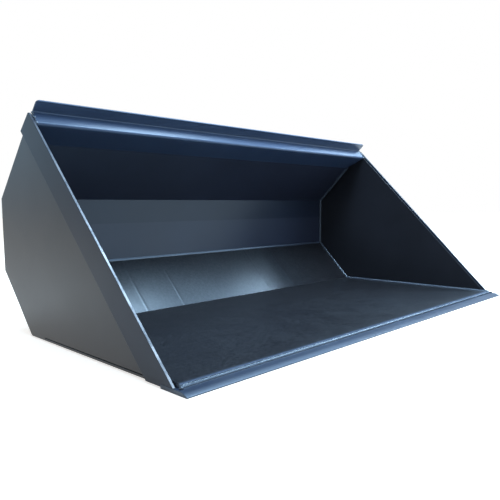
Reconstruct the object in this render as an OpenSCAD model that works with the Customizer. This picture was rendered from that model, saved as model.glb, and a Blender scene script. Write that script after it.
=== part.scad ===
// Bulk material bucket for a compact loader: a welded open scoop of folded plate.
// X runs across the width, -Y is the open mouth and the lip, +Y is the loader side, Z is up.
// The origin is on the ground under the middle of the whole bucket.

/* [Bucket] */
// Width over the cutting edge and the outside edge bars
bucket_w = 2134; // [1500:1:2700]
// Depth from the flat of the back to the front of the lip
bucket_d = 1202; // [1050:1:1500]
// Height of the side plates' lower edge above the ground
plate_low = 5; // [2:0.5:9]
// Run of the lower slope behind the floor
slope_run = 236; // [180:1:300]
// Rise of the lower slope above the side plates' lower edge
slope_rise = 235; // [190:1:300]
// Height of the flat of the back that carries the coupler
back_flat_h = 178; // [120:1:240]
// Height of the slightly leaning band above that flat
back_lean_h = 115; // [80:1:160]
// How far that band leans forward
back_lean = 2; // [0.5:0.5:6]
// Run of the hood, from the back to the mouth
hood_run = 314; // [260:1:360]
// Rise of the hood
hood_rise = 300; // [250:1:350]
// Length of the level top of the edge bars, in front of the hood's top edge
bar_top_l = 6; // [3:0.5:12]
// Distance of the edge bars' front tips behind the lip
tip_setback = 60; // [50:1:80]

/* [Plate] */
// Thickness of the folded floor and back sheets
shell_t = 6; // [4:0.5:10]
// Thickness of the side plates
side_t = 6; // [4:0.5:10]
// Inside radius of the folds in the sheets
fold_r = 6; // [4:0.5:12]
// Radius of the side plates' heel corners
heel_r = 14; // [6:1:24]

/* [Edge bars] */
// Width of the bars along the side plates' front edges
edge_bar_w = 95; // [70:1:120]
// Thickness of those bars
edge_bar_t = 9.5; // [6:0.5:12]
// How far the bars stand out in front of the side plates
edge_bar_lap = 10; // [4:1:14]
// How far their upper rear corners stand out above the hood
edge_bar_proud = 7.5; // [1:0.5:10]

/* [Cutting edge] */
// Depth of the cutting edge, front to back
cutting_d = 117; // [100:1:150]
// Thickness of the cutting edge
cutting_t = 13; // [10:0.5:19]
// Depth of its bevel
bevel_d = 24; // [12:1:35]
// Height of the blunt front of the bevel
bevel_land = 3; // [2:0.5:6]
// Distance of the floor's front edge behind the lip
floor_setback = 52; // [40:1:80]

/* [Top rail] */
// Length of the rail's upper leg, inside the fold
rail_up_leg = 50; // [40:1:75]
// Rise angle of the upper leg
rail_up_angle = 42; // [36:0.5:46]
// Length of the rail's front leg, between the folds
rail_front_leg = 62; // [50:1:80]
// Fall angle of the front leg
rail_front_angle = 52; // [48:0.5:58]
// Thickness of the rail
rail_t = 6; // [4:0.5:8]
// Inside radius of the rail's folds
rail_r = 4; // [3:0.5:6]
// Distance down the hood to the foot of the rail
rail_foot = 134; // [110:1:160]
// Gap between the rail's ends and the side plates
rail_gap = 4; // [2:0.5:8]
// Radius of the upper leg's outer corners
rail_corner_r = 14; // [6:1:20]
// Height of the fold above the hood's top edge
rail_lift = 6; // [4:0.5:8]

/* [Under the floor] */
// Width of the wear bars
wear_w = 75; // [50:1:100]
// Distance from the heel to the rear ends of the wear bars
wear_heel_gap = 24; // [10:1:200]
// Gap between the wear bars and the cutting edge
wear_gap = 5; // [2:1:15]
// Distance from the bucket's sides to the middles of the outer wear bars
wear_side_gap = 317; // [150:1:400]
// Chamfer at the rear ends of the wear bars
wear_chamfer = 8; // [3:1:12]
// Width of the strips under the floor's side edges
strip_w = 50; // [30:1:80]
// Distance from the heel to the rear ends of the strips
strip_heel_gap = 117; // [60:1:300]
// Distance from the front of the strips to the lip
strip_setback = 197; // [170:1:240]
// Height of the open groove above the strips
groove_h = 2.5; // [1:0.5:4]

/* [Coupler] */
// Width of the coupler plate
coupler_w = 1143; // [1050:1:1250]
// Height of the coupler plate
coupler_h = 445; // [400:1:460]
// Height of its lower edge above the ground
coupler_low = 70; // [50:1:90]
// Thickness of the coupler plate
coupler_t = 10; // [8:1:16]
// Length of the hook's underside
hook_l = 60; // [45:1:70]
// Thickness of the hook
hook_t = 12; // [8:1:16]
// Slope of the hook, down from level
hook_angle = 45; // [40:1:50]
// Depth of the lower ledge behind the coupler plate
ledge_d = 64; // [56:1:75]
// Thickness of the ledge
ledge_t = 12; // [8:1:16]
// Distance of the lock pin slots from the middle
slot_x = 413; // [380:1:450]
// Length of the slots, across the bucket
slot_l = 58; // [45:1:70]
// Width of the slots
slot_w = 32; // [24:1:38]
// Distance from the coupler plate to the middle of the slots
slot_back = 34; // [30:1:38]
// Thickness of the end plates
end_t = 10; // [8:1:14]
// Height of the end plates' full depth
end_h = 60; // [40:1:90]
// Thickness of the ribs behind the lower slope
rib_t = 10; // [6:1:14]
// Distance of the inner ribs from the middle
rib_x_inner = 308; // [280:1:340]
// Distance of the outer ribs from the middle
rib_x_outer = 518; // [490:1:545]
// Height of the ribs' lower edge
rib_low = 45; // [30:1:60]
// Run of the ribs' lower rear corner
rib_nose = 32; // [20:1:60]

/* [Welds] */
// Leg of the long inside seams
seam_leg = 8; // [5:0.5:10]
// Leg of the seam between the back and the floor
back_seam_leg = 7; // [4:0.5:9]
// Leg of the bead along the floor's front edge
lip_bead_leg = 9; // [6:0.5:11]
// Leg of the beads behind the edge bars
bar_bead_leg = 4; // [3:0.5:5]
// Leg of the beads along the coupler plate's ends
coupler_bead_leg = 7; // [4:0.5:9]
// Leg of the beads beside the ribs
rib_bead_leg = 5; // [3:0.5:7]

/* [Hidden] */

// Paint, and the paint over the weld beads
paint_colour = "#1d2936";
seam_colour = "#2a3848";
side_colour = "#3a4148";

// Facets of one fold, and of one bead's rounded face
fold_steps = 5;
bead_steps = 4;
// How round a bead's face is, from a flat chamfer at 0 to a quarter circle at 1
bead_round_share = 0.45;
// Overrun of every cut
cut = 1;

// Places across the width
half_w = bucket_w / 2;
plate_out_x = half_w - edge_bar_t;
plate_in_x = plate_out_x - side_t;
rail_end_x = plate_in_x - rail_gap;

// The back's flat lies at this Y, which centres the whole bucket on the origin
rear_reach = coupler_t + ledge_d;
back_y = (bucket_d + rear_reach) / 2 - rear_reach;

// A point of the side view, from its distance in front of the back's flat and its height
function at(forward, up) = [back_y - forward, up];

// Outer corners of the side view
slope_top_z = plate_low + slope_rise;
lean_low_z = slope_top_z + back_flat_h;
lean_top_z = lean_low_z + back_lean_h;
apex_z = lean_top_z + hood_rise;
heel_pt = at(slope_run, plate_low);
slope_top_pt = at(0, slope_top_z);
lean_low_pt = at(0, lean_low_z);
lean_top_pt = at(back_lean, lean_top_z);
apex_pt = at(back_lean + hood_run, apex_z);
tip_pt = at(bucket_d - tip_setback, cutting_t);
cutting_rear_d = bucket_d - cutting_d;

// Directions in the side view
function unit(v) = v / norm(v);
function turned(v) = [-v.y, v.x];
function from_angle(a) = [cos(a), sin(a)];
// Where the line through p along u meets the line through q along v
function meet(p, u, q, v) = p + u * cross(q - p, v) / cross(u, v);

// Moves every corner of an open path to its left by the same distance
function side_way(path, i) = turned(unit(path[i + 1] - path[i]));
function moved_corner(path, i, dist) =
    i == 0 ? path[0] + dist * side_way(path, 0) :
    i == len(path) - 1 ? path[i] + dist * side_way(path, i - 1) :
    let (a = side_way(path, i - 1), b = side_way(path, i))
    path[i] + dist * (a + b) / (1 + a * b);
function moved_path(path, dist) = [for (i = [0 : len(path) - 1]) moved_corner(path, i, dist)];

// An arc in place of the corner b between a and c
function corner_arc(a, b, c, r, steps) =
    let (
        u = unit(a - b),
        v = unit(c - b),
        half = acos(u * v) / 2,
        centre = b + unit(u + v) * r / sin(half),
        from = b + u * r / tan(half) - centre,
        way = sign(cross(b - a, c - b)),
        first = atan2(from.y, from.x),
        sweep = way * (180 - 2 * half)
    )
    [for (k = [0 : steps]) centre + r * from_angle(first + sweep * k / steps)];

// A path with its inner corners rounded, each by its own radius
function rounded_path(path, radii) =
    [for (i = [0 : len(path) - 1])
        for (p = radii[i] == 0 ? [path[i]] :
            corner_arc(path[i - 1], path[i], path[i + 1], radii[i], fold_steps)) p];

// Radii of the folds on one face of a sheet, where a left turn folds towards the other face
function fold_radii(path, left_r, right_r) =
    [for (i = [0 : len(path) - 1])
        i == 0 || i == len(path) - 1 ? 0 :
        cross(path[i] - path[i - 1], path[i + 1] - path[i]) > 0 ? left_r : right_r];

function reversed(list) = [for (i = [len(list) - 1 : -1 : 0]) list[i]];

// The outline of a folded sheet between its two face lines
function sheet(near, far, t, r) = concat(
    rounded_path(near, fold_radii(near, r + t, r)),
    reversed(rounded_path(far, fold_radii(far, r, r + t))));

// The bead in a corner with legs along u and v
function bead(corner, u, v, leg) = concat([corner],
    [for (k = [0 : bead_steps])
        let (a = 90 * k / bead_steps)
        corner + leg * (u * round_leg(cos(a)) + v * round_leg(sin(a)))]);
function round_leg(c) = bead_round_share * c + (1 - bead_round_share) * c * c;

// Draws a side view outline from one X to another
module across(x_from, x_to, points) {
    translate([x_from, 0, 0])
        rotate([90, 0, 90])
            linear_extrude(x_to - x_from)
                polygon(points);
}

// Pieces are drawn for the left, and mirrored for the right
module on_right() {
    mirror([1, 0, 0]) children();
}

// Outer and inner face lines of the folded shell, from the floor's front edge up to the apex
slope_way = unit(slope_top_pt - heel_pt);
floor_front_pt = at(bucket_d - floor_setback, cutting_t);
shell_heel_pt = meet(heel_pt, slope_way, floor_front_pt, [1, 0]);
shell_out = [floor_front_pt, shell_heel_pt, slope_top_pt, lean_low_pt, lean_top_pt, apex_pt];
shell_in = moved_path(shell_out, shell_t);
hood_way = unit(apex_pt - lean_top_pt);

// Face lines of the top rail: upper leg, fold, front leg, nose fold, and the return to the hood
rail_fold_pt = apex_pt + [0, rail_lift];
rail_top_pt = rail_fold_pt + rail_up_leg * [-cos(rail_up_angle), sin(rail_up_angle)];
rail_nose_pt = rail_fold_pt - rail_front_leg * from_angle(rail_front_angle);
rail_foot_pt = shell_in[5] - rail_foot * hood_way;
rail_near = [rail_top_pt, rail_fold_pt, rail_nose_pt, rail_foot_pt];
rail_back = moved_path(rail_near, rail_t);
rail_return_way = unit(rail_foot_pt - rail_nose_pt);
rail_far = [rail_back[0], rail_back[1], rail_back[2],
    meet(rail_back[2], rail_return_way, rail_foot_pt, hood_way)];
front_leg_way = unit(rail_nose_pt - rail_fold_pt);

// The hood sheet ends on the rear of the rail's front leg
hood_top_out = meet(lean_top_pt, hood_way, rail_back[1], front_leg_way);
hood_top_in = meet(rail_foot_pt, hood_way, rail_back[1], front_leg_way);
floor_out = [for (i = [0 : 2]) shell_out[i]];
floor_in = [for (i = [0 : 2]) shell_in[i]];
back_out = [shell_out[2], shell_out[3], shell_out[4], hood_top_out];
back_in = [shell_in[2], shell_in[3], shell_in[4], hood_top_in];

module floor_sheet() {
    color(paint_colour)
        across(-plate_in_x, plate_in_x, sheet(floor_out, floor_in, shell_t, fold_r));
}

module back_sheet() {
    color(paint_colour)
        across(-plate_in_x, plate_in_x, sheet(back_out, back_in, shell_t, fold_r));
}

// Rounds off the outer corner at the left end of the rail's upper leg
module rail_corner_cut() {
    translate([-rail_end_x, rail_top_pt.x, rail_top_pt.y])
        rotate([-rail_up_angle, 0, 0])
            translate([0, 0, -rail_t])
                difference() {
                    translate([-cut, -cut, 0])
                        cube([rail_corner_r + cut, rail_corner_r + cut, 3 * rail_t]);
                    translate([rail_corner_r, rail_corner_r, -cut])
                        cylinder(r = rail_corner_r, h = 3 * rail_t + 2 * cut, $fn = 48);
                }
}

module top_rail() {
    color(paint_colour)
        difference() {
            across(-rail_end_x, rail_end_x, sheet(rail_near, rail_far, rail_t, rail_r));
            rail_corner_cut();
            on_right() rail_corner_cut();
        }
}

module cutting_edge() {
    color(paint_colour)
        across(-half_w, half_w, [
            at(cutting_rear_d, 0), at(bucket_d, 0), at(bucket_d, bevel_land),
            at(bucket_d - bevel_d, cutting_t), at(cutting_rear_d, cutting_t)
        ]);
}

// Front outline of the edge bars: hood's top edge, level top, and the straight edge down to the tip
bar_front_pt = apex_pt - [bar_top_l, 0];
mouth_way = unit(tip_pt - bar_front_pt);
bar_front = [apex_pt, bar_front_pt, tip_pt];
plate_front = moved_path(bar_front, edge_bar_lap);
function bar_rear(p, way) = meet(bar_front_pt + edge_bar_w * turned(mouth_way), mouth_way, p, way);

// The strips under the floor's side edges lie in an open notch of the side plates
strip_front_d = bucket_d - strip_setback;
strip_rear_d = slope_run + strip_heel_gap;
notch_z = cutting_t + groove_h;

module side_plate() {
    heel = corner_arc(at(strip_rear_d, plate_low), heel_pt, slope_top_pt, heel_r, fold_steps);
    color(side_colour)
        across(-plate_out_x, -plate_in_x, concat(heel, [
            slope_top_pt, lean_low_pt, lean_top_pt,
            meet(plate_front[0], plate_front[1] - plate_front[0], lean_top_pt, hood_way),
            plate_front[1], meet(plate_front[1], mouth_way, tip_pt, [1, 0]),
            at(cutting_rear_d, cutting_t), at(cutting_rear_d, plate_low),
            at(strip_front_d, plate_low), at(strip_front_d, notch_z),
            at(strip_rear_d, notch_z), at(strip_rear_d, plate_low)
        ]));
}

// Rear line of the edge bar, where it crosses the side plate's outline, and the bar's proud corner
bar_top_pt = bar_rear(lean_top_pt, hood_way);
bar_low_pt = bar_rear(heel_pt, [1, 0]);
bar_corner_pt = bar_rear(lean_top_pt - edge_bar_proud * turned(hood_way), hood_way);

module edge_bar() {
    color(side_colour)
        across(-half_w, -plate_out_x, concat([bar_corner_pt], bar_front, [
            at(cutting_rear_d, cutting_t), at(cutting_rear_d, plate_low), bar_low_pt
        ]));
}

module corner_strip() {
    color(side_colour)
        across(-plate_out_x, strip_w - plate_out_x, [
            at(strip_rear_d, plate_low), at(strip_front_d, plate_low),
            at(strip_front_d, cutting_t), at(strip_rear_d, cutting_t)
        ]);
}

wear_front_d = cutting_rear_d - wear_gap;
wear_rear_d = slope_run + wear_heel_gap;
// The four wear bars are evenly spaced
wear_x_outer = half_w - wear_side_gap;
wear_x_inner = wear_x_outer / 3;

module wear_bar(x) {
    color(paint_colour)
        across(x - wear_w / 2, x + wear_w / 2, [
            at(wear_rear_d + wear_chamfer, 0), at(wear_front_d, 0),
            at(wear_front_d, cutting_t), at(wear_rear_d, cutting_t), at(wear_rear_d, wear_chamfer)
        ]);
}

// Heights and places on the coupler
coupler_top = coupler_low + coupler_h;
coupler_half = coupler_w / 2;
ledge_top = coupler_low + ledge_t;
hook_way = [cos(hook_angle), -sin(hook_angle)];
hook_root_h = hook_t / cos(hook_angle);
hook_root_pt = at(-coupler_t, coupler_top - hook_root_h);
hook_tip_pt = hook_root_pt + hook_l * hook_way;

module coupler_plate() {
    color(paint_colour)
        across(-coupler_half, coupler_half, [
            at(0, coupler_low), at(0, coupler_top),
            at(-coupler_t, coupler_top), at(-coupler_t, coupler_low)
        ]);
}

module coupler_hook() {
    color(paint_colour)
        across(-coupler_half, coupler_half, [
            hook_root_pt, hook_tip_pt, hook_tip_pt + hook_t * turned(hook_way),
            at(-coupler_t, coupler_top)
        ]);
}

// Cuts one stadium slot through the ledge
module slot_cut(x) {
    reach = (slot_l - slot_w) / 2;
    translate([x, back_y + coupler_t + slot_back, coupler_low - cut]) {
        for (end = [-reach, reach])
            translate([end, 0, 0])
                cylinder(d = slot_w, h = ledge_t + 2 * cut, $fn = 48);
        translate([-reach, -slot_w / 2, 0])
            cube([2 * reach, slot_w, ledge_t + 2 * cut]);
    }
}

module coupler_ledge() {
    color(paint_colour)
        difference() {
            across(-coupler_half, coupler_half, [
                at(-coupler_t, coupler_low), at(-coupler_t, ledge_top),
                at(-rear_reach, ledge_top), at(-rear_reach, coupler_low)
            ]);
            slot_cut(-slot_x);
            slot_cut(slot_x);
        }
}

module coupler_end() {
    color(paint_colour)
        across(-coupler_half, end_t - coupler_half, [
            at(-coupler_t, ledge_top), at(-coupler_t, hook_root_pt.y),
            hook_tip_pt, at(-rear_reach, ledge_top + end_h), at(-rear_reach, ledge_top)
        ]);
}

// The ribs fill the corner between the coupler plate and the lower slope
rib_toe_pt = meet(slope_top_pt, slope_way, at(0, rib_low), [1, 0]);

module rib(x) {
    color(paint_colour)
        across(x - rib_t / 2, x + rib_t / 2, [
            slope_top_pt, rib_toe_pt, at(rib_nose, rib_low), at(0, coupler_low)
        ]);
}

// A fillet seam in the corner between the left side plate and the shell, mitred at every fold
seam_line = concat([shell_in[0], shell_in[1], shell_in[2], shell_in[3], shell_in[4]],
    [rail_foot_pt]);
seam_top = moved_path(seam_line, seam_leg);
seam_mid_share = (1 + bead_round_share * (sqrt(2) - 1)) / 2;
seam_mid = moved_path(seam_line, seam_leg * seam_mid_share);
function seam_ring(i) = [
    [-plate_in_x, seam_line[i].x, seam_line[i].y],
    [-plate_in_x, seam_top[i].x, seam_top[i].y],
    [-plate_in_x + seam_leg * seam_mid_share, seam_mid[i].x, seam_mid[i].y],
    [-plate_in_x + seam_leg, seam_line[i].x, seam_line[i].y]
];

module side_seam() {
    rings = len(seam_line);
    corners = 4;
    points = [for (i = [0 : rings - 1]) for (p = seam_ring(i)) p];
    walls = [for (i = [0 : rings - 2]) for (k = [0 : corners - 1])
        let (a = corners * i + k, b = corners * i + (k + 1) % corners)
        for (f = [[a, b + corners, b], [a, a + corners, b + corners]]) f];
    last = corners * (rings - 1);
    ends = [[0, 1, 2], [0, 2, 3],
        [last + 2, last + 1, last], [last + 3, last + 2, last]];
    color(seam_colour)
        polyhedron(points, concat(walls, ends));
}

module back_seam() {
    reach = plate_in_x - seam_leg;
    corner = shell_in[2];
    color(seam_colour)
        across(-reach, reach, bead(corner, -slope_way, [0, 1], back_seam_leg));
}

module lip_seam() {
    reach = plate_in_x;
    color(seam_colour)
        across(-reach, reach, bead(floor_front_pt, [-1, 0], [0, 1], lip_bead_leg));
}

// The bead behind an edge bar lies on the side plate's outer face
module edge_bar_seam() {
    length = norm(bar_low_pt - bar_top_pt);
    angle = atan2(bar_low_pt.y - bar_top_pt.y, bar_low_pt.x - bar_top_pt.x);
    color(seam_colour)
        translate([-plate_out_x, bar_top_pt.x, bar_top_pt.y])
            rotate([angle, 0, 0])
                rotate([-90, 0, 0])
                    linear_extrude(length)
                        polygon(bead([0, 0], [-1, 0], [0, -1], bar_bead_leg));
}

// Fills the gap between the rail's front leg and a side plate
module rail_end_seam() {
    low = rail_nose_pt - rail_r * front_leg_way;
    high = rail_fold_pt + rail_r * front_leg_way;
    into = rail_t * turned(front_leg_way);
    color(seam_colour)
        across(-plate_in_x, -rail_end_x, [high, low, low + into, high + into]);
}

// The bead above the hood's top edge, behind the rail
module rail_back_seam() {
    reach = rail_end_x;
    color(seam_colour)
        across(-reach, reach, bead(hood_top_out, -front_leg_way, -hood_way, rail_r));
}

// The bead between the end of the coupler plate and the back
module coupler_seam() {
    color(seam_colour)
        translate([-coupler_half, back_y, slope_top_z])
            linear_extrude(back_flat_h)
                polygon(bead([0, 0], [-1, 0], [0, 1], coupler_bead_leg));
}

// Beads on both sides of every rib, along the lower slope
module rib_seams() {
    length = norm(slope_top_pt - rib_toe_pt);
    angle = atan2(slope_way.y, slope_way.x);
    color(seam_colour)
        for (x = [-rib_x_outer, -rib_x_inner, rib_x_inner, rib_x_outer])
            for (way = [-1, 1])
                translate([x + way * rib_t / 2, rib_toe_pt.x, rib_toe_pt.y])
                    rotate([angle - 90, 0, 0])
                        linear_extrude(length - rib_bead_leg)
                            polygon(bead([0, 0], [way, 0], [0, 1], rib_bead_leg));
}

floor_sheet();
back_sheet();
top_rail();
cutting_edge();
side_plate();  // side_plate_left
on_right() side_plate();  // side_plate_right
edge_bar();  // edge_bar_left
on_right() edge_bar();  // edge_bar_right
corner_strip();  // corner_strip_left
on_right() corner_strip();  // corner_strip_right
wear_bar(-wear_x_outer);  // wear_bar_outer_left
wear_bar(-wear_x_inner);  // wear_bar_inner_left
wear_bar(wear_x_inner);  // wear_bar_inner_right
wear_bar(wear_x_outer);  // wear_bar_outer_right
coupler_plate();
coupler_hook();
coupler_ledge();
coupler_end();  // coupler_end_left
on_right() coupler_end();  // coupler_end_right
rib(-rib_x_outer);  // rib_outer_left
rib(-rib_x_inner);  // rib_inner_left
rib(rib_x_inner);  // rib_inner_right
rib(rib_x_outer);  // rib_outer_right
side_seam();  // side_seam_left
on_right() side_seam();  // side_seam_right
back_seam();
lip_seam();
edge_bar_seam();  // edge_bar_seam_left
on_right() edge_bar_seam();  // edge_bar_seam_right
rail_end_seam();  // rail_end_seam_left
on_right() rail_end_seam();  // rail_end_seam_right
rail_back_seam();
coupler_seam();  // coupler_seam_left
on_right() coupler_seam();  // coupler_seam_right
rib_seams();
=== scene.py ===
import math
import bpy
from mathutils import Matrix, Vector


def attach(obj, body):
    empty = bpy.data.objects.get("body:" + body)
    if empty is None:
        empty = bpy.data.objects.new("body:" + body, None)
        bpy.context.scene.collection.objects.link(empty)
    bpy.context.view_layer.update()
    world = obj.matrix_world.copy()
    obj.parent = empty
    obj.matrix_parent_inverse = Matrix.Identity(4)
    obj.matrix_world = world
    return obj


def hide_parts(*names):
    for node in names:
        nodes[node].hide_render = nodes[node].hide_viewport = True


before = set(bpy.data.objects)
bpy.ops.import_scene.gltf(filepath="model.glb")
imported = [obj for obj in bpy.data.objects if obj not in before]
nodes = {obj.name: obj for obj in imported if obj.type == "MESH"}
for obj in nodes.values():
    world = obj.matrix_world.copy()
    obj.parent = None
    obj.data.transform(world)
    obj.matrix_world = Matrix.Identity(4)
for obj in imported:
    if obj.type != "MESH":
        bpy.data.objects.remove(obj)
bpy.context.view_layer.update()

# the view of the photograph, in metres and degrees
photoView = {
    "place": (-1.8835, -1.6853, 0.4867),
    "pan": 45.09,
    "tilt": 5.47,
    "roll": -0.58,
    "lens": 38.24,
    "sensor": 36.0,
    "shift": (-0.0006, 0.0168),
    "farLimit": 100,
}


def makeCamera(view):
    camera = bpy.data.objects.new("photoCamera", bpy.data.cameras.new("photoCamera"))
    bpy.context.scene.collection.objects.link(camera)
    pan, tilt, roll = (math.radians(view[k]) for k in ("pan", "tilt", "roll"))
    ahead = Vector((math.sin(pan), math.cos(pan), 0))
    right = Vector((math.cos(pan), -math.sin(pan), 0))
    up = Vector((0, 0, 1))
    lookAt = ahead * math.cos(tilt) - up * math.sin(tilt)
    top = ahead * math.sin(tilt) + up * math.cos(tilt)
    side = right * math.cos(roll) + top * math.sin(roll)
    top = top * math.cos(roll) - right * math.sin(roll)
    turn = Matrix((side, top, -lookAt)).transposed()
    camera.matrix_world = Matrix.Translation(view["place"]) @ turn.to_4x4()
    camera.data.sensor_width = view["sensor"]
    camera.data.lens = view["lens"]
    camera.data.shift_x, camera.data.shift_y = view["shift"]
    camera.data.clip_end = view["farLimit"]
    bpy.context.scene.camera = camera


makeCamera(photoView)
print("camera placed")


# small helpers shared by the pieces
nodeStep = 200  # how far apart the material nodes stand in the editor


def clearSelection():
    if bpy.context.mode != "OBJECT":
        bpy.ops.object.mode_set(mode="OBJECT")
    bpy.ops.object.select_all(action="DESELECT")


def makeActive(piece):
    clearSelection()
    piece.select_set(True)
    bpy.context.view_layer.objects.active = piece


def applyModifier(piece, kind, **settings):
    makeActive(piece)
    modifier = piece.modifiers.new(kind.title(), kind)
    for name, value in settings.items():
        setattr(modifier, name, value)
    bpy.ops.object.modifier_apply(modifier=modifier.name)


def setFinish(piece, finish):
    piece.data.materials.clear()
    piece.data.materials.append(finish)


def addNode(tree, kind, place, values=None, **settings):
    made = tree.nodes.new(kind)
    made.location = (place[0] * nodeStep, place[1] * nodeStep)
    for name, value in settings.items():
        setattr(made, name, value)
    for name, value in (values or {}).items():
        made.inputs[name].default_value = value
    return made


# small steps that the paints are built from
def addNoise(tree, where, place, scale, detail, roughness=0.5):
    noise = addNode(tree, "ShaderNodeTexNoise", place,
                    {"Scale": scale, "Detail": detail, "Roughness": roughness})
    tree.links.new(where, noise.inputs["Vector"])
    return noise.outputs["Fac"]


def addRange(tree, source, place, fromSpan, toSpan=(0.0, 1.0), **settings):
    span = addNode(tree, "ShaderNodeMapRange", place,
                   {"From Min": fromSpan[0], "From Max": fromSpan[1],
                    "To Min": toSpan[0], "To Max": toSpan[1]}, **settings)
    tree.links.new(source, span.inputs["Value"])
    return span.outputs["Result"]


def addMath(tree, operation, place, *terms, **settings):
    made = addNode(tree, "ShaderNodeMath", place, operation=operation, **settings)
    for row, term in enumerate(terms):
        if isinstance(term, float):
            made.inputs[row].default_value = term
        else:
            tree.links.new(term, made.inputs[row])
    return made.outputs["Value"]


def addTint(tree, colour, tint, share, place):
    mix = addNode(tree, "ShaderNodeMix", place, data_type="RGBA")
    mix.inputs["B"].default_value = (*tint, 1)
    tree.links.new(colour, mix.inputs["A"])
    tree.links.new(share, mix.inputs["Factor"])
    return mix.outputs["Result"]


def addBump(tree, height, distance, place, under=None):
    bump = addNode(tree, "ShaderNodeBump", place, {"Strength": 1.0, "Distance": distance})
    tree.links.new(height, bump.inputs["Height"])
    if under:
        tree.links.new(under, bump.inputs["Normal"])
    return bump.outputs["Normal"]


def addAxes(tree, source, place):
    axes = addNode(tree, "ShaderNodeSeparateXYZ", place)
    tree.links.new(source, axes.inputs["Vector"])
    return axes.outputs


# what all the paints share: noises, and the heights and ways of facing where something begins
grain = {
    "driftStops": (0.3, 0.7),
    "drift": (3.0, 0.55),  # detail and roughness of the noise
    "speck": (11.0, 8.0, 0.7),  # scale, detail and roughness
    "speckSpan": (0.4, 0.72),
    "speckShare": (0.15, 1.0),
    "cloud": (6.0, 5.0, 0.6),
    "cloudSpan": (0.3, 0.7),
    "waveDetail": 1.0,
    "peel": (420.0, 2.0),
    "dustFaces": (0.2, 1.0),
    "dustDulls": 0.35,
    "wearAndSheenHeights": (0.75, 0.0),
    "wearTop": 0.12,
    "wearAndSheenFaces": (0.45, 0.68),
    "lipSpan": (-0.560, -0.584),
    "leanShadeHeights": (0.4165, 0.4195),
    "leanShadeFaces": (-0.9, -0.95),
    "ribFaces": (-0.2, -0.5),
}


# pale rubbed steel with a painted highlight on the faces that look up and forward, stronger lower down
def addWearAndSheen(tree, colour, axes, facing, specks, look):
    low = addRange(tree, axes["Z"], (-6, 5), grain["wearAndSheenHeights"], (grain["wearTop"], look["wear"]))
    front = addRange(tree, facing["Z"], (-6, 6), grain["wearAndSheenFaces"])
    rubbedAndLit = addMath(tree, "MULTIPLY", (-4, 5), low, front)
    patchy = addMath(tree, "MULTIPLY", (-3, 5), rubbedAndLit, specks)
    return addTint(tree, colour, look["wearAndSheenColour"], patchy, (-1, 3))


# the leaning band of the back is painted darker than the flat under it: painted shade standing in for the
# darker reflection it shows
def addLeanShade(tree, colour, axes, facing, look):
    above = addRange(tree, axes["Z"], (-6, 9), grain["leanShadeHeights"], (0.0, look["leanShade"]))
    upright = addRange(tree, facing["Y"], (-6, 10), grain["leanShadeFaces"])
    leanShaded = addMath(tree, "MULTIPLY", (-4, 9), above, upright)
    return addTint(tree, colour, look["leanShadeColour"], leanShaded, (-1, 7))


# a paler strip of floor behind the lip bead: partly wear, partly a painted highlight that widens the bead's
# shine
def addLipWearAndSheen(tree, colour, axes, look):
    near = addRange(tree, axes["Y"], (-6, 7), grain["lipSpan"], (0.0, look["lipWear"]),
                    interpolation_type="SMOOTHSTEP")
    return addTint(tree, colour, look["lipWearAndSheenColour"], near, (-1, 5))


# faint lines where the ribs are welded behind the slope
def addRibPrint(tree, axes, facing, look):
    away = addMath(tree, "ABSOLUTE", (-7, -10), axes["X"])
    lines = []
    for row, ribPlace in enumerate(look["ribPlaces"]):
        apart = addMath(tree, "SUBTRACT", (-6, -12 - row), away, ribPlace)
        gap = addMath(tree, "ABSOLUTE", (-5, -12 - row), apart)
        lines.append(addRange(tree, gap, (-4, -10 - row), (0.0, look["ribBlur"]), (1.0, 0.0),
                              interpolation_type="SMOOTHSTEP"))
    both = addMath(tree, "MAXIMUM", (-3, -11), *lines)
    sloping = addRange(tree, facing["Y"], (-4, -13), grain["ribFaces"])
    printed = addMath(tree, "MULTIPLY", (-2, -11), both, sloping)
    return addBump(tree, printed, look["ribPrint"], (-4, -6))


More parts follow.
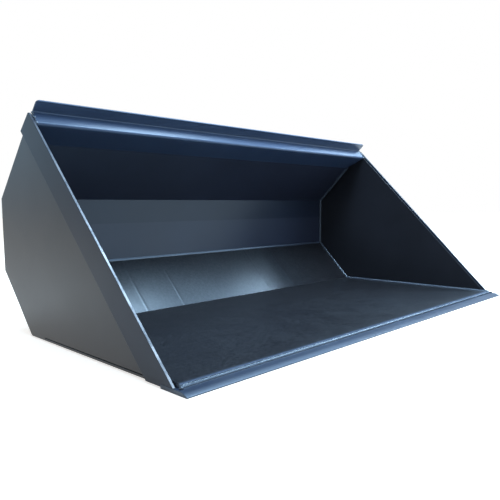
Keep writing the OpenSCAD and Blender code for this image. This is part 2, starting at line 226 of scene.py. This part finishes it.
# gloss paint over steel: colour drift, fine peel, slow waves of the sheet, and dust where it can lie
def makePaint(name, look):
    paint = bpy.data.materials.new(name)
    paint.use_nodes = True
    tree = paint.node_tree
    link = tree.links.new
    shader = tree.nodes["Principled BSDF"]
    # the specular tint holds a painted reflection of a blue sky
    shader.inputs["Specular Tint"].default_value = look["shineSkyTint"]
    shader.inputs["Specular IOR Level"].default_value = look["shine"]
    shader.inputs["IOR"].default_value = look["ior"]
    where = addNode(tree, "ShaderNodeTexCoord", (-9, 0)).outputs["Object"]
    axes = addAxes(tree, where, (-8, 5))
    normal = addNode(tree, "ShaderNodeNewGeometry", (-9, -2)).outputs["Normal"]
    facing = addAxes(tree, normal, (-8, -2))
    drift = addNode(tree, "ShaderNodeValToRGB", (-5, 2))
    for stop, place, tone in zip(drift.color_ramp.elements, grain["driftStops"], ("deep", "pale")):
        stop.position = place
        stop.color = (*look[tone], 1)
    link(addNoise(tree, where, (-7, 2), look["driftScale"], *grain["drift"]), drift.inputs["Fac"])
    # dust lies on faces that look up
    upward = addRange(tree, facing["Z"], (-7, -2), grain["dustFaces"], (0.0, look["dust"]))
    speck = addNoise(tree, where, (-7, -4), *grain["speck"])
    specks = addRange(tree, speck, (-5, -4), grain["speckSpan"], grain["speckShare"])
    dust = addMath(tree, "MULTIPLY", (-4, -3), upward, specks)
    colour = addTint(tree, drift.outputs["Color"], look["dustColour"], dust, (-3, 2))
    if look["wear"]:
        colour = addWearAndSheen(tree, colour, axes, facing, specks, look)
    if look["leanShade"]:
        colour = addLeanShade(tree, colour, axes, facing, look)
    if look["lipWear"]:
        colour = addLipWearAndSheen(tree, colour, axes, look)
    link(colour, shader.inputs["Base Color"])
    # gloss drifts with the paint's thickness, and dust dulls it
    cloud = addNoise(tree, where, (-7, 0), *grain["cloud"])
    rough = addRange(tree, cloud, (-5, 0), grain["cloudSpan"], look["rough"])
    dulled = addMath(tree, "MULTIPLY_ADD", (-3, 0), dust, grain["dustDulls"], rough, use_clamp=True)
    link(dulled, shader.inputs["Roughness"])
    # the ribs' print, the sheet's slow waves, then the paint's peel
    printed = addRibPrint(tree, axes, facing, look) if look["ribPrint"] else None
    wave = addNoise(tree, where, (-7, -6), look["waveScale"], grain["waveDetail"])
    waved = addBump(tree, wave, look["wave"], (-3, -6), printed)
    peel = addNoise(tree, where, (-7, -8), *grain["peel"])
    link(addBump(tree, peel, look["peel"], (-2, -7), waved), shader.inputs["Normal"])
    return paint


paintLook = {
    "deep": (0.0095, 0.0120, 0.0205),
    "pale": (0.0150, 0.0190, 0.0330),
    # the paint's shine is tinted blue: a painted reflection of a blue sky
    "shineSkyTint": (0.80, 0.92, 1.0, 1),
    "shine": 0.45,
    "ior": 1.5,
    "driftScale": 1.6,
    "dust": 0.05,
    "dustColour": (0.16, 0.15, 0.13),
    "rough": (0.31, 0.36),
    "wave": 0.0009,
    "waveScale": 2.2,
    "peel": 0.00001,
    "wear": 0.0,
    "wearAndSheenColour": (0.66, 0.66, 0.66),
    "leanShade": 0.0,
    "leanShadeColour": (0.003, 0.007, 0.018),
    "lipWear": 0.0,
    "lipWearAndSheenColour": (0.10, 0.135, 0.20),
    "ribPrint": 0.0,
    "ribPlaces": (0.308, 0.518),
    "ribBlur": 0.012,
}
# how each piece's paint departs from the one above
paintChanges = {
    # the shell's darker leaning band is painted shade
    "shellPaint": {"deep": (0.015, 0.018, 0.032), "pale": (0.022, 0.027, 0.046), "leanShade": 0.6},
    "floorPaint": {"driftScale": 90.0, "deep": (0.001, 0.001, 0.002), "pale": (0.018, 0.017, 0.019),
                   # the floor's paler strip at the lip is partly wear and partly a painted highlight
                   "ribPrint": 0.0004, "lipWear": 0.8, "dust": 0.02, "rough": (0.29, 0.35)},
    # the sides' paint is the shell's paint made greyer and warmer: a painted reflection of the grey ground
    # the sides face
    "sideReflectionPaint": {"deep": (0.0115, 0.0120, 0.0150), "pale": (0.0175, 0.0185, 0.0240), "shine": 0.41,
                  "shineSkyTint": (0.98, 0.98, 1.0, 1), "dust": 0.06, "driftScale": 2.1},
    # the bars' pale front faces are partly wear and partly a painted highlight
    "barPaint": {"driftScale": 2.1, "wear": 1.0, "shine": 0.26},
    "edgePaint": {"deep": (0.012, 0.019, 0.036), "pale": (0.019, 0.030, 0.054), "wave": 0.001},
    # the rail's paint is the shell's paint made lighter and bluer: painted light from the sky the rail faces
    "railPaint": {"deep": (0.024, 0.040, 0.078), "pale": (0.036, 0.057, 0.106), "shine": 0.34,
                  "wave": 0.0003},
    "couplerPaint": {"wave": 0.002, "dust": 0.12},
    "wearPaint": {"rough": (0.38, 0.5), "wave": 0.001},
    # the beads' paint is lighter than the shell's: a painted highlight for the light the beads catch
    "seamLitPaint": {"deep": (0.034, 0.042, 0.058), "pale": (0.055, 0.068, 0.092), "rough": (0.16, 0.26),
                  "shine": 0.6, "wave": 0.0005, "peel": 0.0001},
}
paints = {name: makePaint(name, {**paintLook, **changes}) for name, changes in paintChanges.items()}
print("paints mixed")


# plates, bars and folded sheets: a copy of the node with its edges eased
easeLook = {
    "widths": {"shell": 0.0009, "side": 0.0012, "bar": 0.0016, "edge": 0.0012, "coupler": 0.0012},
    "segments": 3,
    "sharpAngle": 40,
    "flatAngle": 0.5,
    "weld": 0.00001,
    "faceWeight": 50,
    "rearLimit": 0.638,  # the coupler's bevels are trimmed to the part's rear face
    "trimReach": 1e-6,
}


def camelName(nodeName):
    first, *rest = nodeName.split("_")
    return first + "".join(word.title() for word in rest)


def copyNode(nodeName, pieceName):
    piece = bpy.data.objects.new(pieceName, nodes[nodeName].data.copy())
    bpy.context.scene.collection.objects.link(piece)
    makeActive(piece)
    bpy.ops.object.mode_set(mode="EDIT")
    bpy.ops.mesh.select_all(action="SELECT")
    bpy.ops.mesh.remove_doubles(threshold=easeLook["weld"])
    bpy.ops.mesh.dissolve_limited(angle_limit=math.radians(easeLook["flatAngle"]))
    return piece


def trimRear(piece):
    makeActive(piece)
    bpy.ops.object.mode_set(mode="EDIT")
    bpy.ops.mesh.select_all(action="SELECT")
    bpy.ops.mesh.bisect(plane_co=(0, easeLook["rearLimit"], 0), plane_no=(0, 1, 0), clear_outer=True,
                        use_fill=True, threshold=easeLook["trimReach"])
    bpy.ops.object.mode_set(mode="OBJECT")


def easePlate(nodeName, paintName, edgeKind, atRear=False):
    piece = copyNode(nodeName, camelName(nodeName))
    bpy.ops.object.mode_set(mode="OBJECT")
    sharp = math.radians(easeLook["sharpAngle"])
    applyModifier(piece, "BEVEL", width=easeLook["widths"][edgeKind], segments=easeLook["segments"],
                  limit_method="ANGLE", angle_limit=sharp, miter_outer="MITER_SHARP")
    if atRear:
        trimRear(piece)
    makeActive(piece)
    bpy.ops.object.shade_smooth_by_angle(angle=sharp)
    applyModifier(piece, "WEIGHTED_NORMAL", mode="FACE_AREA", weight=easeLook["faceWeight"], keep_sharp=True)
    setFinish(piece, paints[paintName])
    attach(piece, "root")
    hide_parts(nodeName)


easePlate("floor_sheet", "floorPaint", "shell")
easePlate("back_sheet", "shellPaint", "shell")
easePlate("top_rail", "railPaint", "shell")
easePlate("cutting_edge", "edgePaint", "edge")
for side in ("left", "right"):
    easePlate(f"side_plate_{side}", "sideReflectionPaint", "side")
    easePlate(f"edge_bar_{side}", "barPaint", "bar")
    easePlate(f"corner_strip_{side}", "sideReflectionPaint", "side")
    easePlate(f"coupler_end_{side}", "couplerPaint", "coupler")
    for place in ("inner", "outer"):
        easePlate(f"wear_bar_{place}_{side}", "wearPaint", "bar")
        easePlate(f"rib_{place}_{side}", "couplerPaint", "coupler")
for name in ("plate", "hook", "ledge"):
    easePlate(f"coupler_{name}", "couplerPaint", "coupler", atRear=True)
print("plates eased")

# weld beads: one ripple is shaped from a quarter of a cylinder, then repeated along its corner
beadLook = {
    "sides": 24,
    "pitch": 0.0048,
    "crest": 0.12,  # how much a ripple's crown stands out
    "sweep": 0.45,  # how far its middle runs ahead of its toes, in pitches
    "flatten": 0.13,
    "rings": ((0, 1.0), (-0.25, 0.7), (0.25, 0.7)),  # places along a ripple, and their share of the crest
    "unevenness": 0.0007,
    "cloudSize": 0.012,
    "sharpAngle": 50,
    "endFacing": 0.9,
    "weld": 1e-5,
    "near": 1e-6,
    "tackFaces": (20, 12),  # segments and rings of a tack
}


def selectVertices(piece, test):
    bpy.ops.object.mode_set(mode="OBJECT")
    for vertex in piece.data.vertices:
        vertex.select = test(vertex.co)
    bpy.ops.object.mode_set(mode="EDIT")


def makeRipple(leg, pitch):
    clearSelection()
    bpy.ops.mesh.primitive_cylinder_add(vertices=beadLook["sides"], radius=leg, depth=pitch)
    ripple = bpy.context.object
    bpy.ops.object.mode_set(mode="EDIT")
    bpy.ops.mesh.select_mode(type="VERT")
    for flank in ((1, 0, 0), (0, 1, 0)):
        bpy.ops.mesh.select_all(action="SELECT")
        bpy.ops.mesh.bisect(plane_co=(0, 0, 0), plane_no=flank, clear_inner=True, use_fill=True)
    for share, _ in sorted(beadLook["rings"]):
        bpy.ops.mesh.select_all(action="SELECT")
        bpy.ops.mesh.bisect(plane_co=(0, 0, share * pitch), plane_no=(0, 0, 1))
    # the end faces go, so that the ripples join into one skin
    bpy.ops.object.mode_set(mode="OBJECT")
    for face in ripple.data.polygons:
        face.select = abs(face.normal.z) > beadLook["endFacing"]
    bpy.ops.object.mode_set(mode="EDIT")
    bpy.ops.mesh.select_mode(type="FACE")
    bpy.ops.mesh.delete(type="ONLY_FACE")
    bpy.ops.mesh.select_mode(type="VERT")
    for share, part in beadLook["rings"]:
        grow = 1 + beadLook["crest"] * part
        selectVertices(ripple, lambda co: abs(co.z - share * pitch) < beadLook["near"]
                       and co.xy.length > leg / 2)
        bpy.ops.transform.resize(value=(grow, grow, 1), center_override=(0, 0, 0))
    step = 2 * math.pi / beadLook["sides"]
    for column in range(1, beadLook["sides"] // 4):
        angle = column * step
        bulge = math.sin(2 * angle)
        shrink = 1 - beadLook["flatten"] * bulge
        selectVertices(ripple, lambda co: co.xy.length > leg / 2
                       and abs(math.atan2(co.y, co.x) - angle) < step / 3)
        bpy.ops.transform.resize(value=(shrink, shrink, 1), center_override=(0, 0, 0))
        bpy.ops.transform.translate(value=(0, 0, beadLook["sweep"] * pitch * bulge))
    bpy.ops.object.mode_set(mode="OBJECT")
    return ripple


# a straight bead in the corner from start to end, with its legs along the two plates
def layBead(start, end, legWayA, legWayB, leg, pitch):
    start, end, wayA, wayB = (Vector(v) for v in (start, end, legWayA, legWayB))
    along = end - start
    count = max(2, round(along.length / pitch))
    step = along.length / count
    bead = makeRipple(leg, step)
    bead.location.z = step / 2
    bpy.ops.object.transform_apply(location=True, rotation=True, scale=True)
    applyModifier(bead, "ARRAY", count=count, use_relative_offset=False, use_constant_offset=True,
                  constant_offset_displace=(0, 0, step), use_merge_vertices=True,
                  merge_threshold=beadLook["weld"])
    bpy.ops.object.mode_set(mode="EDIT")
    bpy.ops.mesh.select_all(action="SELECT")
    bpy.ops.mesh.fill_holes(sides=0)
    bpy.ops.mesh.select_all(action="SELECT")
    bpy.ops.mesh.normals_make_consistent(inside=False)
    bpy.ops.object.mode_set(mode="OBJECT")
    if wayA.cross(wayB).dot(along) < 0:
        wayA, wayB = wayB, wayA
    turn = Matrix((wayA.normalized(), wayB.normalized(), along.normalized())).transposed()
    bead.data.transform(Matrix.Translation(start) @ turn.to_4x4())
    return bead


def joinBeads(pieceName, beads, nodeName):
    clearSelection()
    for bead in beads:
        bead.select_set(True)
    bpy.context.view_layer.objects.active = beads[0]
    if len(beads) > 1:
        bpy.ops.object.join()
    seam = bpy.context.object
    seam.name = pieceName
    cloud = bpy.data.textures.new(pieceName, "CLOUDS")
    cloud.noise_scale = beadLook["cloudSize"]
    applyModifier(seam, "DISPLACE", texture=cloud, texture_coords="LOCAL", strength=beadLook["unevenness"])
    makeActive(seam)
    bpy.ops.object.shade_smooth_by_angle(angle=math.radians(beadLook["sharpAngle"]))
    setFinish(seam, paints["seamLitPaint"])
    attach(seam, "root")
    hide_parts(nodeName)


# a round tack of weld metal
def makeTack(look, place, outWay=None):
    clearSelection()
    segments, rings = beadLook["tackFaces"]
    bpy.ops.mesh.primitive_uv_sphere_add(segments=segments, ring_count=rings, radius=look["size"])
    tack = bpy.context.object
    bpy.ops.transform.resize(value=look["stretch"])
    if outWay:
        tack.rotation_mode = "QUATERNION"
        tack.rotation_quaternion = outWay.to_track_quat("Z", "X")
    tack.location = place
    bpy.ops.object.transform_apply(location=True, rotation=True, scale=True)
    return tack


# corners of the side view that carry the beads, as (y, z) in metres, and places across the width
corners = {
    "shell": [(-0.5860, 0.0190), (0.3336, 0.0190), (0.5580, 0.2425), (0.5580, 0.4180), (0.5560, 0.5304),
              (0.3407, 0.7361)],
    "barTop": (0.3136, 0.7703),
    "barLow": (-0.4497, 0.0070),
    "railFold": (0.2480, 0.8390),
    "railNose": (0.2098, 0.7901),
    "hoodTop": (0.2497, 0.8314),
    "lip": (-0.5860, 0.0130),
    "flat": ((0.5640, 0.2400), (0.5640, 0.4180)),
    "rib": ((0.3682, 0.0450), (0.5605, 0.2365)),
}
reach = {"plateIn": 1.0515, "plateOut": 1.0575, "railEnd": 1.0475, "coupler": 0.5715, "ribHalf": 0.005,
         "ribs": (0.308, 0.518)}
legs = {"side": 0.008, "back": 0.007, "lip": 0.009, "bar": 0.004, "rail": 0.004, "coupler": 0.007,
        "rib": 0.005}


def sideWay(start, end):  # square to a stretch of the side view, to its left
    along = (Vector(end) - Vector(start)).normalized()
    return (0, -along.y, along.x)


def inSide(x, point):
    return (x, point[0], point[1])


shell = corners["shell"]
ripple = beadLook["pitch"]
for tail, hand in (("left", -1), ("right", 1)):
    x = hand * reach["plateIn"]
    beads = [layBead(inSide(x, low), inSide(x, high), (-hand, 0, 0), sideWay(low, high), legs["side"], ripple)
             for low, high in zip(shell, shell[1:])]
    joinBeads(f"sideSeam{tail.title()}", beads, f"side_seam_{tail}")
    x = hand * reach["plateOut"]
    rearWay = sideWay(corners["barTop"], corners["barLow"])
    bead = layBead(inSide(x, corners["barTop"]), inSide(x, corners["barLow"]), (hand, 0, 0),
                   tuple(-c for c in rearWay), legs["bar"], ripple)
    joinBeads(f"edgeBarSeam{tail.title()}", [bead], f"edge_bar_seam_{tail}")
    x = hand * reach["coupler"]
    bead = layBead(inSide(x, corners["flat"][0]), inSide(x, corners["flat"][1]), (hand, 0, 0), (0, 1, 0),
                   legs["coupler"], ripple)
    joinBeads(f"couplerSeam{tail.title()}", [bead], f"coupler_seam_{tail}")

across = reach["plateIn"] - legs["side"]
slopeWay = Vector(shell[2]) - Vector(shell[1])
bead = layBead(inSide(-across, shell[2]), inSide(across, shell[2]), (0, -slopeWay.x, -slopeWay.y), (0, 0, 1),
               legs["back"], ripple)
joinBeads("backSeam", [bead], "back_seam")
bead = layBead(inSide(-reach["plateIn"], corners["lip"]), inSide(reach["plateIn"], corners["lip"]),
               (0, -1, 0), (0, 0, 1), legs["lip"], ripple)
lipTack = {"size": 0.0062, "stretch": (1.15, 1.0, 0.9), "place": (1.0530, -0.5975, 0.0160)}
outward, ahead, up = lipTack["place"]
ends = [makeTack(lipTack, (hand * outward, ahead, up)) for hand in (-1, 1)]
joinBeads("lipSeam", [bead, *ends], "lip_seam")
legWay = (Vector(corners["railFold"]) - Vector(corners["railNose"])).normalized()
hoodWay = (Vector(shell[4]) - Vector(shell[5])).normalized()
bead = layBead(inSide(-reach["railEnd"], corners["hoodTop"]), inSide(reach["railEnd"], corners["hoodTop"]),
               (0, legWay.x, legWay.y), (0, hoodWay.x, hoodWay.y), legs["rail"], ripple)
joinBeads("railBackSeam", [bead], "rail_back_seam")
beads = []
for rib in reach["ribs"]:
    for hand in (-1, 1):
        for way in (-1, 1):
            x = hand * rib + way * reach["ribHalf"]
            low, high = corners["rib"]
            outWay = sideWay(high, low)
            beads.append(layBead(inSide(x, low), inSide(x, high), (way, 0, 0), outWay, legs["rib"], ripple))
joinBeads("ribSeams", beads, "rib_seams")
print("beads laid")

# the welds at the rail's ends: the gap's filling, with round tacks over it
tackLook = {"size": 0.0062, "stretch": (1, 1, 0.55), "places": (0.08, 0.42, 0.86), "cuts": 5}
for tail, hand in (("left", -1), ("right", 1)):
    filling = copyNode(f"rail_end_seam_{tail}", "filling")
    bpy.ops.mesh.subdivide(number_cuts=tackLook["cuts"])
    bpy.ops.object.mode_set(mode="OBJECT")
    fold, nose = Vector(corners["railFold"]), Vector(corners["railNose"])
    outWay = Vector(sideWay(nose, fold))
    x = hand * (reach["plateIn"] + reach["railEnd"]) / 2
    tacks = [makeTack(tackLook, inSide(x, fold.lerp(nose, share)), outWay) for share in tackLook["places"]]
    joinBeads(f"railEndSeam{tail.title()}", [filling, *tacks], f"rail_end_seam_{tail}")
print("rail ends tacked")


# pale floor, white surroundings and soft lamps; the panels over the mouth and in front stand in for
# the bright surroundings that the photograph's paint mirrors
studio = {
    "floorColour": (0.80, 0.72, 0.62),
    "floorRough": 0.9,
    "floorGloss": 0.1,
    "floorSize": 60.0,
    "floorDrop": 0.0004,
    "floorGlow": 0.68,
    "floorShine": (0.56, 0.545, 0.52),  # what glossy faces see of the floor
    "surround": 1.0,
    "skyShine": (0.62, 0.78, 0.92),  # and of the surroundings
    "ambient": 0.5,
    "ambientColour": (0.94, 0.97, 1.0),
    "lamps": {
        # name: (place, aim, width, height, power, colour)
        "skyPanel": ((2.6, -2.2, 4.8), (2.6, -2.2, 0.0), 9.0, 9.5, 900, (0.42, 0.68, 1.0)),
        "rearPanel": ((-2.4, 5.6, 2.2), (-1.1, 0.4, 0.9), 4.0, 2.4, 12, (0.30, 0.68, 1.0)),
        "mouthPanelLeft": ((0.55, -0.50, 2.6), (0.55, -0.50, 0.0), 0.9, 0.8, 108, (0.60, 0.80, 1.0)),
        "mouthPanelRight": ((3.1, -0.60, 2.6), (3.1, -0.60, 0.0), 0.6, 0.8, 74, (0.60, 0.80, 1.0)),
        "glintPanel": ((4.6, -4.6, 2.3), (0.0, 0.0, 0.5), 6.0, 0.7, 125, (0.62, 0.80, 1.0)),
    },
}


# a share for a mix shader that is one for these kinds of ray
def addRayShare(tree, place, *kinds):
    path = addNode(tree, "ShaderNodeLightPath", place)
    share = path.outputs[kinds[0]]
    for step, kind in enumerate(kinds[1:], 1):
        share = addMath(tree, "MAXIMUM", (place[0] + step, place[1]), share, path.outputs[kind])
    return share


def addMix(tree, share, without, within, place):
    mix = addNode(tree, "ShaderNodeMixShader", place)
    tree.links.new(share, mix.inputs["Fac"])
    tree.links.new(without, mix.inputs[1])
    tree.links.new(within, mix.inputs[2])
    return mix.outputs["Shader"]


def addLight(tree, kind, colour, strength, place):
    made = addNode(tree, f"ShaderNode{kind}", place, {"Color": (*colour, 1), "Strength": strength})
    return made.outputs[kind]


def makeFloor(look):
    bpy.ops.mesh.primitive_plane_add(size=look["floorSize"], location=(0, 0, -look["floorDrop"]))
    floor = bpy.context.object
    floor.name = "studioFloor"
    finish = bpy.data.materials.new("studioFloor")
    finish.use_nodes = True
    tree = finish.node_tree
    shader = tree.nodes["Principled BSDF"]
    shader.inputs["Base Color"].default_value = (*look["floorColour"], 1)
    shader.inputs["Roughness"].default_value = look["floorRough"]
    shader.inputs["Specular IOR Level"].default_value = look["floorGloss"]
    # the far floor meets the white surroundings without a line
    glow = addLight(tree, "Emission", (1, 1, 1), look["floorGlow"], (0, -2))
    shine = addLight(tree, "Emission", look["floorShine"], 1.0, (0, -4))
    dark = addLight(tree, "Emission", (0, 0, 0), 0.0, (0, -3))
    seen = addMix(tree, addRayShare(tree, (-2, -4), "Is Camera Ray"), shine, glow, (0.5, -3))
    ray = addRayShare(tree, (-2, -2), "Is Camera Ray", "Is Glossy Ray")
    total = addNode(tree, "ShaderNodeAddShader", (2, 0))
    tree.links.new(shader.outputs["BSDF"], total.inputs[0])
    tree.links.new(addMix(tree, ray, dark, seen, (1, -2)), total.inputs[1])
    tree.links.new(total.outputs["Shader"], tree.nodes["Material Output"].inputs["Surface"])
    setFinish(floor, finish)


def makeLamp(name, place, aim, width, height, power, colour):
    light = bpy.data.lights.new(name, "AREA")
    light.shape = "RECTANGLE"
    light.size, light.size_y = width, height
    light.energy = power
    light.color = colour
    lamp = bpy.data.objects.new(name, light)
    bpy.context.scene.collection.objects.link(lamp)
    lamp.location = place
    lamp.visible_camera = False
    lamp.rotation_mode = "QUATERNION"
    lamp.rotation_quaternion = (Vector(aim) - Vector(place)).to_track_quat("-Z", "Y")


def makeSurroundings(look):
    world = bpy.data.worlds.new("studio")
    world.use_nodes = True
    bpy.context.scene.world = world
    tree = world.node_tree
    soft = tree.nodes["Background"]
    soft.inputs["Color"].default_value = (*look["ambientColour"], 1)
    soft.inputs["Strength"].default_value = look["ambient"]
    white = addLight(tree, "Background", (1, 1, 1), look["surround"], (0, -1))
    sky = addLight(tree, "Background", look["skyShine"], 1.0, (0, -2))
    lit = addMix(tree, addRayShare(tree, (-4, 0), "Is Glossy Ray"), white, sky, (0.5, -1))
    ray = addRayShare(tree, (-4, 2), "Is Camera Ray", "Is Glossy Ray", "Is Transmission Ray")
    tree.links.new(addMix(tree, ray, soft.outputs["Background"], lit, (1, 0)),
                   tree.nodes["World Output"].inputs["Surface"])


makeFloor(studio)
for name, lampLook in studio["lamps"].items():
    makeLamp(name, *lampLook)
makeSurroundings(studio)
bpy.context.scene.view_settings.view_transform = "Standard"
print("studio lit")
